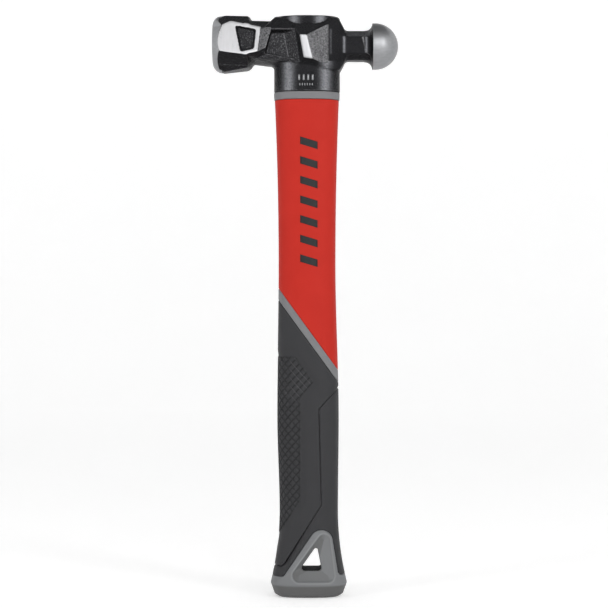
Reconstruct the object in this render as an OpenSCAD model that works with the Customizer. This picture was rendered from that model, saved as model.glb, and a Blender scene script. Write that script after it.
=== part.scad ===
// Ball peen hammer with a forged head bonded to a fibreglass-core handle.
// +Z runs up the handle, -X is the striking face, +X is the ball peen, and the cheeks face -Y and +Y.
// The origin lies on the flat butt, straight below the axis of the eye.

/* [Head] */
// Height of the top of the poll above the butt
head_top = 375; // [370:0.5:380]
// Distance from the eye axis to the crown of the striking face
face_reach = 61.4; // [59:0.2:63]
// Distance from the eye axis to the tip of the ball
ball_reach = 59.1; // [57:0.2:62]
// Poll size from its top flat to its bottom flat
poll_flats = 34.7; // [33:0.1:35.5]
// Length of the poll, from the striking face to its back chamfer
poll_len = 24.2; // [22:0.2:26]
// How far the ball's axis lies below the poll's axis
ball_drop = 1.4; // [0:0.1:2.5]
// Radius of the ball peen
ball_r = 15; // [14:0.1:16]
// Size of the octagonal peen neck across its flats
peen_flats = 20; // [18:0.2:22]
// Half the thickness of the head at the cheeks
cheek_half = 18.9; // [18.4:0.1:19.5]
// Depth of the forged pockets in the cheeks
pocket_depth = 2.3; // [1:0.1:3]

/* [Collar and eye] */
// Height of the collar's lower edge above the butt
collar_z = 326.2; // [323:0.2:329]
// Half the width of the collar along the head
collar_half_w = 21.3; // [20.6:0.1:22]
// Half the thickness of the collar across the cheeks
collar_half_t = 15.2; // [14.6:0.1:16]
// Half the length of the eye along the head
eye_half_w = 15; // [14:0.1:15.6]
// Half the width of the eye across the cheeks
eye_half_t = 9.8; // [9.2:0.1:10.2]
// Thickness of the epoxy round the core
epoxy_gap = 2.2; // [1.6:0.1:2.6]

/* [Handle] */
// Height of the slimmest part of the upper handle
waist_z = 214; // [205:1:225]
// Height of the fullest part of the palm swell
swell_z = 116; // [108:1:124]
// Height of the little finger hollow
hollow_z = 56; // [53:1:60]
// Height of the widest part of the butt
rim_z = 9.3; // [8:0.1:11]
// Height of the grey ring below the collar
ring_h = 5.3; // [4:0.1:7]
// Height of the slanted stripe, measured straight up
stripe_h = 7.6; // [5:0.1:9]
// Width of the moulded groove between the two black grips
seam_gap = 0.6; // [0.3:0.1:1]

/* [Lanyard hole] */
// Height of the hole's floor above the butt
hole_floor_z = 18; // [16:0.1:18.5]
// Half the thickness of the black lining of the hole
lining_half_t = 12.2; // [11.6:0.1:12.6]
// Thickness of the black lining of the hole
lining_wall = 1.8; // [1.2:0.1:2.4]

/* [Hidden] */

steel = [0.25, 0.25, 0.26];
resin = [0.72, 0.62, 0.38];
glass_bar = [0.86, 0.84, 0.72];
hard_black = [0.08, 0.08, 0.09];
grey = [0.47, 0.47, 0.48];
red = [0.77, 0.22, 0.17];
soft_black = [0.2, 0.2, 0.21];

// Far outside the part, for cutting shapes
far = 60;
turned_fn = 96;
ring_points = 36;
arc_steps = 5;

poll_z = head_top - poll_flats / 2;
ball_z = poll_z - ball_drop;
ball_x = ball_reach - ball_r;
boss_top = head_top - 0.3;
ring_z = collar_z - ring_h;

// The core and the hard moulding round it
core_half_w = eye_half_w - epoxy_gap;
core_half_t = eye_half_t - epoxy_gap;
core_foot_z = 44.5;
resin_dip = 1;
body_half_w = 15.4;
body_half_t = 10.4;
body_foot_z = 8;
bar_squareness = 2.4;

// Half widths of the handle towards the face and the peen, and half its thickness,
// at the top, waist, swell, hollow and rim
to_face = [21.1, 18.4, 19.4, 17.9, 23.5];
to_peen = [20.9, 18.5, 20.6, 20.1, 25.9];
to_cheek = [15, 13.5, 14.3, 13.3, 15.6];
handle_squareness = 2.5;
// The foot stands in from the rim by a long bevel and then a short one
bevel_in = 2.5;
foot_bevel_z = 2.3;
foot_in = 3.1;
ring_step = 12;

// Height at which the stripe's lower edge crosses the handle's axis, and its fall per unit of width
stripe_z = 166.6;
stripe_fall = 1.36;

// Seam between the two black grips, from the face side up to the peen side: x, z, corner radius
SEAM = [[-29, 20.4, 0], [-16, 20.9, 2], [9.3, 59.9, 3], [7.7, 121.7, 2], [29, 144.4, 0]];
// Upper edge of the grey cap, from the face side over the dish to the peen side
CAP_EDGE = [[-29, 14.1, 0], [-15.4, 14.1, 3], [13.7, 56.5, 7.6], [20.5, 15, 2.4], [31, 15, 0]];
// Outline of the dish on the cap's skin, and of the hole above its own floor
DISH = [[13.4, 47.7, 3.9], [-13.9, 10.6, 4.5], [18.1, 10.6, 4]];
HOLE = [[6.5, 16.6, 1.4], [-5.2, 0, 1.8], [9.8, 0, 1.8]];

function mix(a, b, t) = a + (b - a) * t;
function ease(t) = t * t * (3 - 2 * t);
function unit(v) = v / norm(v);

// Arc that rounds the corner c between the points p and n
function arc(p, c, n, r) =
    let (a = unit(p - c), b = unit(n - c), half = acos(a * b) / 2)
    let (centre = c + unit(a + b) * r / sin(half))
    let (start = c + a * r / tan(half) - centre, end = c + b * r / tan(half) - centre)
    [for (i = [0:arc_steps]) centre + r * unit(mix(start, end, i / arc_steps))];

// Outline through corners given as x, z and corner radius
function flat(q) = [q[0], q[1]];
function rounded(c) = let (n = len(c)) [for (i = [0:n - 1])
    let (before = c[(i + n - 1) % n], after = c[(i + 1) % n])
    each c[i][2] > 0 ? arc(flat(before), flat(c[i]), flat(after), c[i][2]) : [flat(c[i])]];

// Half size of the handle at a height, from its values at the five stations
function half_at(z, s) =
    z > waist_z ? mix(s[1], s[0], pow((z - waist_z) / (collar_z - waist_z), 2)) :
    z > swell_z ? mix(s[1], s[2], ease((waist_z - z) / (waist_z - swell_z))) :
    z > hollow_z ? mix(s[2], s[3], ease((swell_z - z) / (swell_z - hollow_z))) :
    z > rim_z ? mix(s[3], s[4], pow((hollow_z - z) / (hollow_z - rim_z), 2)) :
    z > foot_bevel_z ? s[4] - bevel_in * (rim_z - z) / (rim_z - foot_bevel_z) :
    s[4] - bevel_in - foot_in * (foot_bevel_z - z) / foot_bevel_z;

// Oval with its own reach towards the face and the peen; p is 2 for an ellipse and more when squarer
function bent(v, p) = sign(v) * pow(abs(v), 2 / p);
function oval(face, peen, t, p) = [for (i = [0:ring_points - 1]) let (a = 360 * i / ring_points)
    [(cos(a) < 0 ? face : peen) * bent(cos(a), p), t * bent(sin(a), p)]];

// One ring of the handle's skin, and the heights of the rings between two ends
function ring_at(z) =
    let (skin = oval(half_at(z, to_face), half_at(z, to_peen), half_at(z, to_cheek), handle_squareness))
    [for (q = skin) [q[0], q[1], z]];
function levels(low, high) =
    concat([low], [for (z = [ring_step:ring_step:collar_z]) if (z > low + 1 && z < high - 1) z], [high]);

// Solid handle through rings at the given heights
module handle_solid(heights) {
    n = ring_points;
    last = len(heights) - 1;
    walls = [for (k = [0:last - 1]) for (i = [0:n - 1]) let (j = (i + 1) % n)
             [k * n + i, (k + 1) * n + i, (k + 1) * n + j, k * n + j]];
    foot = [for (i = [0:n - 1]) i];
    crown = [for (i = [n - 1:-1:0]) last * n + i];
    rings = [for (z = heights) each ring_at(z)];
    polyhedron(points = rings, faces = concat(walls, [foot], [crown]), convexity = 4);
}

// Straight oval bar between two heights
module oval_bar(half_w, half_t, low, high) {
    translate([0, 0, low]) linear_extrude(high - low) polygon(oval(half_w, half_w, half_t, bar_squareness));
}

// An outline drawn in X and Z, carried through the thickness
module through(points, half = far) {
    translate([0, half, 0]) rotate([90, 0, 0]) linear_extrude(2 * half) polygon(points);
}

// A shape laid along the head, with its own +Z turned to +X
module along_head(x, z) {
    translate([x, 0, z]) rotate([0, 90, 0]) children();
}

// Section of the poll: eight flats, with the two cheeks leaning in towards the top
module poll_section() {
    half = poll_flats / 2;
    top_half_t = 7.7;
    lean = 4;
    near = [[-half, top_half_t], [-half + lean, half - lean], [7.3, half], [half, top_half_t]];
    polygon(concat(near, [for (i = [3:-1:0]) [near[i][0], -near[i][1]]]));
}

// Turned outline of the striking end: crowned face, round bevel, body and back chamfer
module turned_poll() {
    face_r = 10.6;
    crown = 0.3;
    bevel_len = 8.9;
    body_r = 18.8;
    chamfer_r = 14.6;
    chamfer_len = 3;
    bevel = [for (a = [0:15:90]) [mix(face_r, body_r, sin(a)), crown + bevel_len * (1 - cos(a))]];
    back = [[body_r, poll_len], [chamfer_r, poll_len + chamfer_len], [0, poll_len + chamfer_len]];
    rotate_extrude($fn = turned_fn) polygon(concat([[0, 0]], bevel, back));
}

module poll() {
    along_head(-face_reach, poll_z) intersection() {
        turned_poll();
        linear_extrude(far) poll_section();
    }
}

// Block between the poll and the peen neck, cut to its side outline, its plan and its section
module cheeks() {
    root_x = -37.5;
    end_x = 25.3;
    side = [[root_x, poll_z - 12.7], [root_x, poll_z + 14.1], [-24, poll_z + 14.1], [-21.7, boss_top - 1.2],
            [-15.5, boss_top], [15.5, boss_top], [21, boss_top - 1.8], [end_x, boss_top - 9],
            [end_x, ball_z - 9.3], [21.2, ball_z - 16], [-21.2, ball_z - 16], [-24, poll_z - 14.2]];
    plan = [[root_x, -16.4], [-8.7, -cheek_half], [1, -cheek_half], [14, -15], [end_x, -8.7]];
    section = [[cheek_half, poll_z + 4.2], [11.8, head_top], [-11.8, head_top], [-cheek_half, poll_z + 4.2],
               [-cheek_half, poll_z - 12.9], [-14.4, ball_z - 16.4], [14.4, ball_z - 16.4],
               [cheek_half, poll_z - 12.9]];
    intersection() {
        through(side);
        translate([0, 0, collar_z]) linear_extrude(far)
            polygon(concat(plan, [for (i = [4:-1:0]) [plan[i][0], -plan[i][1]]]));
        translate([-far, 0, 0]) rotate([90, 0, 90]) linear_extrude(2 * far) polygon(section);
    }
}

// Octagonal neck, concave flare and ball, about the peen's own axis
module peen() {
    flare_r = 4.8;
    ball_rim = 0.9;
    neck_root_x = 18;
    side_r = peen_flats / 2;
    flare = [for (a = [90:-15:0]) [ball_r - flare_r * sin(a), ball_x - ball_rim - flare_r * (1 - cos(a))]];
    ball = [for (a = [0:6:90]) [ball_r * cos(a), ball_x + ball_r * sin(a)]];
    along_head(neck_root_x, ball_z) rotate([0, 0, 22.5])
        cylinder(r = side_r / cos(22.5), h = ball_x - neck_root_x - 3, $fn = 8);
    along_head(0, ball_z) rotate_extrude($fn = turned_fn)
        polygon(concat([[0, ball_x - 8], [ball_r - flare_r, ball_x - 8]], flare, ball));
}

// Forged pockets on the two cheeks: one in the poll's flat, one ahead of the boss
module cheek_pockets() {
    poll_floor = 16 - pocket_depth;
    waist_floor = 18.3 - pocket_depth;
    poll_pocket = [[-46, poll_z + 8.7], [-33.6, poll_z + 6.4], [-35, poll_z - 4], [-41.9, poll_z - 6.4]];
    waist_pocket = [[-23.2, poll_z + 7.7], [-8.7, poll_z + 7], [-5.2, poll_z - 12.2], [-26.6, poll_z - 7.7]];
    for (side = [-1, 1]) {
        translate([0, side * (poll_floor + far / 2), 0]) through(poll_pocket, far / 2);
        translate([0, side * (waist_floor + far / 2), 0]) through(waist_pocket, far / 2);
    }
}

module hammer_head() {
    color(steel) difference() {
        union() {
            poll();
            cheeks();
            peen();
            oval_bar(collar_half_w, collar_half_t, collar_z, boss_top - 0.6);
        }
        oval_bar(eye_half_w, eye_half_t, collar_z - 1, head_top + 1);
        cheek_pockets();
    }
}

module epoxy_joint() {
    color(resin) difference() {
        oval_bar(eye_half_w, eye_half_t, collar_z, boss_top - resin_dip);
        oval_bar(core_half_w, core_half_t, collar_z - 1, boss_top);
    }
}

module fibreglass_core() {
    color(glass_bar) oval_bar(core_half_w, core_half_t, core_foot_z, boss_top - resin_dip);
}

// Outline of the hole, or of its lining when it is grown outwards
function hole_outline(grow) =
    let (middle = [3.7, hole_floor_z + 5.6], k = 1 + grow / 5)
    [for (q = rounded(HOLE)) middle + k * (q + [0, hole_floor_z] - middle)];

// Everything inside the soft mouldings
module inner_space() {
    oval_bar(body_half_w, body_half_t, body_foot_z, collar_z);
    through(hole_outline(lining_wall), lining_half_t);
}

module inner_body() {
    color(hard_black) difference() {
        inner_space();
        oval_bar(core_half_w, core_half_t, core_foot_z, collar_z + 1);
        through(hole_outline(0));
    }
}

// Hollow stretch of the handle between two heights
module sleeve(low, high) {
    difference() {
        handle_solid(levels(low, high));
        inner_space();
    }
}

function stripe_line(rise) = [for (x = [-30, 30]) [x, stripe_z + rise - x * stripe_fall]];
function above(line) = concat(line, [[90, 400], [-90, 400]]);
function below(line) = concat(line, [[90, -20], [-90, -20]]);
stripe_low = stripe_z - 26 * stripe_fall;
stripe_high = stripe_z + stripe_h + 24 * stripe_fall;

module neck_ring() {
    color(grey) sleeve(ring_z, collar_z);
}

module upper_jacket() {
    color(red) intersection() {
        sleeve(stripe_low, ring_z);
        through(above(stripe_line(stripe_h)));
    }
}

module grip_stripe() {
    color(grey) intersection() {
        sleeve(stripe_low, stripe_high);
        through(above(stripe_line(0)));
        through(below(stripe_line(stripe_h)));
    }
}

// Line of the seam, drawn back from the rear grip by the width of the groove
function seam_line(gap) = [for (q = rounded(SEAM)) q + [-gap, gap]];

module front_grip() {
    color(soft_black) difference() {
        intersection() {
            sleeve(rim_z, stripe_high);
            through(below(stripe_line(0)));
        }
        through(below(seam_line(seam_gap)));
    }
}

module rear_grip() {
    seam_top = SEAM[4][1];
    color(soft_black) intersection() {
        sleeve(rim_z, seam_top);
        through(below(seam_line(0)));
        through(above(rounded(CAP_EDGE)));
    }
}

// Rounded triangular dish on both cheeks, sloping down to the hole's lining
module dishes() {
    skin_half_t = 17.5;
    sheet = 0.5;
    for (side = [-1, 1]) hull() {
        translate([0, side * skin_half_t, 0]) through(rounded(DISH), sheet);
        translate([0, side * (lining_half_t + sheet), 0]) through(hole_outline(0.5), sheet);
    }
}

module butt_cap() {
    cap_levels = [0, foot_bevel_z, rim_z, 14, 19, 25, 31, 38, 46];
    color(grey) difference() {
        intersection() {
            handle_solid(cap_levels);
            through(below(rounded(CAP_EDGE)));
        }
        inner_space();
        dishes();
        through(hole_outline(0));
    }
}

hammer_head();
epoxy_joint();
fibreglass_core();
inner_body();
neck_ring();
upper_jacket();
grip_stripe();
front_grip();
rear_grip();
butt_cap();
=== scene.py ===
"""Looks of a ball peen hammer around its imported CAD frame.

Lengths inside the functions are in millimetres, in the frame of the CAD, and become metres in make_piece.
h is the height above the poll's axis, and the shape is the same on both cheeks.
"""

import math

import bpy
import numpy as np
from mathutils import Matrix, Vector


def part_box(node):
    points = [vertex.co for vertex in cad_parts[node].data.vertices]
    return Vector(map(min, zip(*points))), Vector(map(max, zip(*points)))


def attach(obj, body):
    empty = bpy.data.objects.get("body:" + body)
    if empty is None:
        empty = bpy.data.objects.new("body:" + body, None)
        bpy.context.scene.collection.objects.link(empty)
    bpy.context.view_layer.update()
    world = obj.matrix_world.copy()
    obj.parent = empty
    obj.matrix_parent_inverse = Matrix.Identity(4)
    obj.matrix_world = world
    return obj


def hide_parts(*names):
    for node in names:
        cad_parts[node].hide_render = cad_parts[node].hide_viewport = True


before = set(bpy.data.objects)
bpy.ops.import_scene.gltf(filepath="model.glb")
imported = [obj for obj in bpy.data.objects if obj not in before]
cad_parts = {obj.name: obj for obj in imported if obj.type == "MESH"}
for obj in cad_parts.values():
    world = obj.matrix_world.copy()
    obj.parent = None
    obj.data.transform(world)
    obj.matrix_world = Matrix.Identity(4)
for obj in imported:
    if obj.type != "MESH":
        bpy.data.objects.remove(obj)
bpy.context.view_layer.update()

MM = 0.001


def box_mm(node):
    """Lowest and highest corners of a CAD node, in millimetres."""
    low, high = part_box(node)
    return np.array(low) / MM, np.array(high) / MM


HEAD_LOW, HEAD_HIGH = box_mm("hammer_head")
FACE_X = HEAD_LOW[0]
BALL_TIP_X = HEAD_HIGH[0]
COLLAR_Z = HEAD_LOW[2]
RING_Z = box_mm("neck_ring")[0][2]
HALF_T = HEAD_HIGH[1]
POLL_HALF = 17.35
POLL_Z = HEAD_HIGH[2] - POLL_HALF
BALL_DROP = 1.4
BALL_R = 15.0
BOSS_HALF = (21.3, 15.2)
EYE_HALF = (15.0, 9.8)
BAR_SQUARENESS = 2.4

# Handle: half sizes at the top, waist, swell, hollow and rim, and the heights of those stations
WAIST_Z, SWELL_Z, HOLLOW_Z, RIM_Z, FOOT_BEVEL_Z = 214.0, 116.0, 56.0, 9.3, 2.3
TO_FACE = (21.1, 18.4, 19.4, 17.9, 23.5)
TO_PEEN = (20.9, 18.5, 20.6, 20.1, 25.9)
TO_CHEEK = (15.0, 13.5, 14.3, 13.3, 15.6)
SKIN_SQUARENESS = 2.5
BEVEL_IN, FOOT_IN = 2.5, 3.1

STRIPE_Z, STRIPE_H, STRIPE_FALL = 166.6, 7.6, 1.36
SEAM = [(-60, 19.2, 0), (-16, 20.9, 2), (9.3, 59.9, 3), (7.7, 121.7, 2), (60, 177.4, 0)]
CAP_EDGE = [(-60, 14.1, 0), (-15.4, 14.1, 3), (13.7, 56.5, 7.6), (20.5, 15, 2.4), (60, 15, 0)]
DISH = [(13.4, 47.7, 3.9), (-13.9, 10.6, 4.5), (18.1, 10.6, 4)]
HOLE_FLOOR_Z, LINING_HALF_T = 18.0, 12.2
HOLE = [(6.5, 16.6, 1.4), (-5.2, 0, 1.8), (9.8, 0, 1.8)]
PANEL = [(-60, 155.6, 0), (-7.3, 155.6, 0.8), (4.1, 138.9, 1), (-4.2, 129, 3), (-4.2, 63.3, 1.5),
         (-60, -23, 0)]
PANEL_RIM = [(-60, 160.6, 0), (-6, 160.6, 3), (9, 137.2, 2.5), (0.5, 127.4, 4), (0.3, 61, 3),
             (-60, -33, 0)]
FAR_X = 60


# ---------------------------------------------------------------- meshes

def make_piece(name, points, faces):
    """A mesh object from points in millimetres."""
    mesh = bpy.data.meshes.new(name)
    mesh.from_pydata((np.asarray(points) * MM).tolist(), [], np.asarray(faces).tolist())
    mesh.polygons.foreach_set("use_smooth", [True] * len(mesh.polygons))
    mesh.validate()
    piece = bpy.data.objects.new(name, mesh)
    bpy.context.collection.objects.link(piece)
    return piece


def point_values(piece, name, values):
    """A number at each vertex, which a material reads by its name."""
    piece.data.attributes.new(name, "FLOAT", "POINT").data.foreach_set("value", values.astype(np.float32))


def dress(piece, material, slot, *nodes):
    """Puts a piece on the hammer's one body, in place of its CAD nodes."""
    piece.data.materials.append(material)
    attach(piece, "root")
    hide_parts(*nodes)


# ---------------------------------------------------------------- outlines in x and z

def unit(v):
    return v / np.linalg.norm(v)


def closed_at(line, z):
    """Outline that runs along a line and comes back along a far level."""
    return np.concatenate([line, [(FAR_X, z), (-FAR_X, z)]])


def rounded(corners, steps=6):
    """Outline through corners given as x, z and corner radius, with an arc at each rounded corner."""
    out = []
    for i, (x, z, r) in enumerate(corners):
        c = np.array([x, z], float)
        if r == 0:
            out.append(c)
            continue
        a = unit(np.array(corners[i - 1][:2]) - c)
        b = unit(np.array(corners[(i + 1) % len(corners)][:2]) - c)
        half = math.acos(float(a @ b)) / 2
        centre = c + unit(a + b) * r / math.sin(half)
        start = c + a * r / math.tan(half) - centre
        end = c + b * r / math.tan(half) - centre
        out += [centre + r * unit(start + (end - start) * k / steps) for k in range(steps + 1)]
    return np.array(out)


def outline_distance(points, x, z):
    """Signed distance to a closed outline, below zero inside."""
    best = np.full(np.shape(x), 1e9)
    inside = np.zeros(np.shape(x), bool)
    for (ax, az), (bx, bz) in zip(points, np.roll(points, -1, axis=0)):
        ex, ez = bx - ax, bz - az
        t = np.clip(((x - ax) * ex + (z - az) * ez) / (ex * ex + ez * ez + 1e-12), 0, 1)
        best = np.minimum(best, np.hypot(x - ax - t * ex, z - az - t * ez))
        crosses = ((az > z) != (bz > z)) & (x < ax + ex * (z - az) / (ez if ez else 1e-12))
        inside ^= crosses
    return np.where(inside, -best, best)


# ---------------------------------------------------------------- distance fields for the head

def smax(a, b, r):
    """Larger of two distances, with the edge between them rounded to about the radius r."""
    t = np.clip(0.5 + 0.5 * (a - b) / r, 0, 1)
    return b + (a - b) * t + r * t * (1 - t)


def smin(a, b, r):
    return -smax(-a, -b, r)


def smooth(t):
    t = np.clip(t, 0, 1)
    return t * t * (3 - 2 * t)


def smax_all(r, *fields):
    out = fields[0]
    for field in fields[1:]:
        out = smax(out, field, r)
    return out


def slope(x, y, h, a, b, c, d):
    """Distance above the plane a x + b y + c h = d."""
    return (a * x + b * y + c * h - d) / math.sqrt(a * a + b * b + c * c)


def oval_field(x, y, half_w, half_t, p=BAR_SQUARENESS):
    q = ((np.abs(x) / half_w) ** p + (y / half_t) ** p) ** (1 / p)
    return (q - 1) * (half_w + half_t) / 2


def ground_cheek(x, y, h):
    """The bright ground plane of the poll's cheek: it leans back towards the top."""
    return slope(x, y, h, 0, 1, 0.2, 15.89)


def upper_chamfer(x, y, h):
    """Forged facet over the ground cheek, cut deeper towards the boss."""
    return slope(x, y, h, 0.165, 1, 1, 18.5)


def rough_plane(x, y, h):
    """The rough side of the boss, which turns away from the cheek towards the peen."""
    return slope(x, y, h, 0.262, 1, 0.066, HALF_T + 0.24)


def striking_end(x, y, h):
    """Striking end: crowned face and elliptical bevel, with a bevel on each cheek that ends in an arc."""
    face_r, body_r, bevel_len, crown = 12.0, 18.8, 7.0, 0.3
    r = np.hypot(y, h)
    back = FACE_X + crown + bevel_len
    along = np.maximum(back - x, 0) / bevel_len
    across = np.maximum(r - face_r, 0) / (body_r - face_r)
    bevel = (np.hypot(along, across) - 1) * (body_r - face_r) - crown * np.clip(1 - (r / face_r) ** 2, 0, 1)
    turned = np.where(x < back, bevel, r - body_r - 3 * (x - back))
    arc_x = -57.4 + 0.0265 * np.minimum(np.abs(h), 10.3) ** 2
    return smax(turned, (y + 0.2 * h - 16.2 - 0.964 * (x - arc_x)) / 1.4, 0.6)


def poll_field(x, y, h):
    top = h - POLL_HALF
    bottom = slope(x, y, h, 0.15, 0, -1, 10.5)
    corner = slope(x, y, h, -0.281, 1, 0.785, 37.5)
    lower = slope(x, y, h, -0.16, 1, -1, 24.9 + 0.16 * 48)
    r = np.hypot(y, h)
    back = slope(x, r, 0, 1.45, 1, 0, POLL_HALF - 1.45 * 37)
    body = smax_all(0.5, top, bottom, upper_chamfer(x, y, h), lower, corner, back)
    return smax(body, striking_end(x, y, h), 0.8)


def waist_bottom(x, y, h):
    """Underside of the waist, which climbs towards the cheeks and fades out under the boss."""
    belly = slope(x, y, h, -0.141, 0.25, -1, 18.44) - 0.5 * np.maximum(x + 10, 0)
    return smax(slope(x, y, h, -0.1, 0, -1, 12.9 + 0.1 * 33.8), belly, 0.5)


def waist_field(x, y, h):
    top = h - 14.0
    bottom = waist_bottom(x, y, h)
    lower = slope(x, y, h, 0.26, 1, -1, 17.4 + 7.6 - 0.26 * 36)
    ends = np.abs(x + 28.5) - 11.5
    return smax_all(0.8, top, bottom, upper_chamfer(x, y, h), lower, ends)


def cheek_field(x, y, h):
    """Faceted block round the eye, without its pockets."""
    front = y - HALF_T
    towards_poll = slope(x, y, h, -0.14, 1, 0, HALF_T + 0.14 * 8.7)
    band = slope(x, y, h, 0.42, 1, 0.066, 15.5 + 0.42 * 13.7)
    flank = slope(x, y, h, 0.62, 1, 0.066, 14.5 + 0.62 * 16.1)
    shoulder = slope(x, y, h, 0, 1, 0.55, 21.04)
    under = slope(x, y, h, 0.183, 1, -0.67, 28.54)
    strip_foot = slope(x, y, h, -0.16, 1, -1, 30.02)
    rib = np.minimum.reduce([slope(x, y, h, *RIB), rib_top(x) + 0.4 * (y - 16.3) - h, -5.6 - x])
    top = h - POLL_HALF + 1.1
    peen_top = slope(x, y, h, 0.876, 0, 0.482, 0.876 * 24.3 + 0.482 * 8.6)
    peen_low = slope(x, y, h, 0.872, 0, -0.489, 0.872 * 24.7 + 0.489 * 11.8)
    peen_end = x - 25.2
    poll_top = slope(x, y, h, -1, 0, 0.9, 21.6 + 0.9 * 15.4)
    bottom = waist_bottom(x, y, h)
    foot = slope(x, y, h, -0.1, 0, -1, 18.2)
    poll_end = -x - 34
    body = smax_all(0.45, towards_poll, rough_plane(x, y, h), front, shoulder, under, strip_foot, rib)
    body = smax_all(0.5, body, band, flank)
    body = smax(body, smax(bottom, foot, 1), 0.5)
    return smax_all(1.6, body, top, peen_top, peen_low, peen_end, poll_top, poll_end)


def boss_wall(x, y, h):
    """Oval wall of the boss and collar, a little thinner over its upper part."""
    half_w, half_t = BOSS_HALF
    return oval_field(x, y, half_w, half_t - 0.5 * smooth((h - 2) / 6))


def boss_field(x, y, h):
    """Oval boss and collar round the eye."""
    return smax(smax(boss_wall(x, y, h), h - POLL_HALF + 0.35, 1.4), COLLAR_Z - POLL_Z - h, 0.6)


def peen_field(x, y, h):
    """Octagonal neck, concave flare and ball."""
    k = h + BALL_DROP
    flats = 9.5
    neck = smax_all(0.6, y - flats, np.abs(k) - flats, (y + np.abs(k)) / math.sqrt(2) - 10.5)
    ball_x = BALL_TIP_X - BALL_R
    neck = smax(neck, np.maximum(x - ball_x + 2, 12 - x), 0.5)
    r = np.hypot(y, k)
    flare_r, rim_x = 4.8, ball_x - 1.8
    hollow = flare_r - np.hypot(x - (rim_x - flare_r), r - BALL_R)
    flare = smax_all(0.4, hollow, r - BALL_R, x - rim_x - 1.5, rim_x - flare_r - x)
    ball = smax(np.sqrt((x - ball_x) ** 2 + r * r) - BALL_R, rim_x - x, 0.5)
    return np.minimum(smin(neck, flare, 1.0), ball)


POLL_POCKET = [(-45.9, 10.1, 0.9), (-33.0, 7.6, 1.2), (-34.3, -4.6, 1.2), (-42.4, -6.7, 1.2)]
WAIST_POCKET = [(-22.2, 9.4, 0.4), (-7.9, 9.4, 0.4), (-4.2, -13.3, 0.6), (-7.0, -14.9, 0.4),
                (-7.9, -11.4, 0.3), (-27.0, -8.0, 0.4)]
CLIMB_SLOPE, CLIMB_LEAN, CLIMB_X, FLOOR_Y = 0.42, 0.085, -13.9, 13.6
RIB = (-0.116, 1, -0.303, 20.29)
FACET_TILT = 0.35


def rib_top(x):
    """Height of the upper edge of the rib that runs below the pocket."""
    return -0.2 * x - 13.22


def poll_pocket(x, y, h):
    """Trapezoid recess in the ground cheek, with drafted walls."""
    floor = 2.0
    depth = ground_cheek(x, y, h)
    wall = outline_distance(rounded(POLL_POCKET), x, h) - 0.25 * depth
    return smax(wall, -depth - floor, 0.5)


def pocket_roof(x, y, h):
    """Sloping roof of the deep pocket."""
    return slope(x, y, h, 0, -0.655, 1, -3.35)


def waist_pocket(x, y, h):
    """Deep pocket ahead of the boss: a sloping roof, a sunk panel, and a panel that climbs to the peen."""
    wall = outline_distance(rounded(WAIST_POCKET), x, h) + 0.2 * (HALF_T - 3 - y)
    roof = pocket_roof(x, y, h)
    sunk = FLOOR_Y - y
    climbing = slope(x, y, h, CLIMB_SLOPE, -1, CLIMB_LEAN, CLIMB_SLOPE * CLIMB_X - FLOOR_Y)
    return smax_all(0.4, wall, roof, smax(sunk, climbing, 0.15))


def strip_gap(x, y, h):
    """Dark slanted groove between the pocket and the ground strip."""
    edge = (x + 3.8) * 0.985 + (h - 3.6) * 0.165
    deep = slope(x, y, h, 0.9, -1, 0.16, -17.2 + 0.9 * -6.5 + 0.16 * 3.6)
    return smax_all(0.3, edge, -edge - 3.2, deep, h - 8.8, -h - 13.6)


def head_field(x, y, h):
    body = smin(smin(poll_field(x, y, h), waist_field(x, y, h), 1.2), cheek_field(x, y, h), 1.0)
    body = smax(body, ground_limit(x, y, h), 0.35)
    body = smin(body, boss_field(x, y, h), 0.5 + 2.2 * smooth((-17 - x) / 4))
    body = smin(body, peen_field(x, y, h), 2.2)
    for pocket in (poll_pocket, waist_pocket, strip_gap):
        body = smax(body, -pocket(x, y, h), 0.4)
    eye = oval_field(x, y, *EYE_HALF)
    return smax(body, -eye, 0.5)


def facet_edge(x, h):
    """Distance past the line where the ground cheek ends and the rough facet starts."""
    return (x + 30.76) * 0.994 - h * 0.113


def ground_limit(x, y, h):
    """The ground cheek cuts everything ahead of the rough facet that leads to the pocket."""
    edge = facet_edge(x, h)
    return np.where(edge < 0, ground_cheek(x, y, h), ground_cheek(x, y, h) - FACET_TILT * edge)


CELL_EDGES = [((a, b, c), axis) for axis in range(3) for a in (0, 1) for b in (0, 1) for c in (0, 1)
              if (a, b, c)[axis] == 0]


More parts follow.
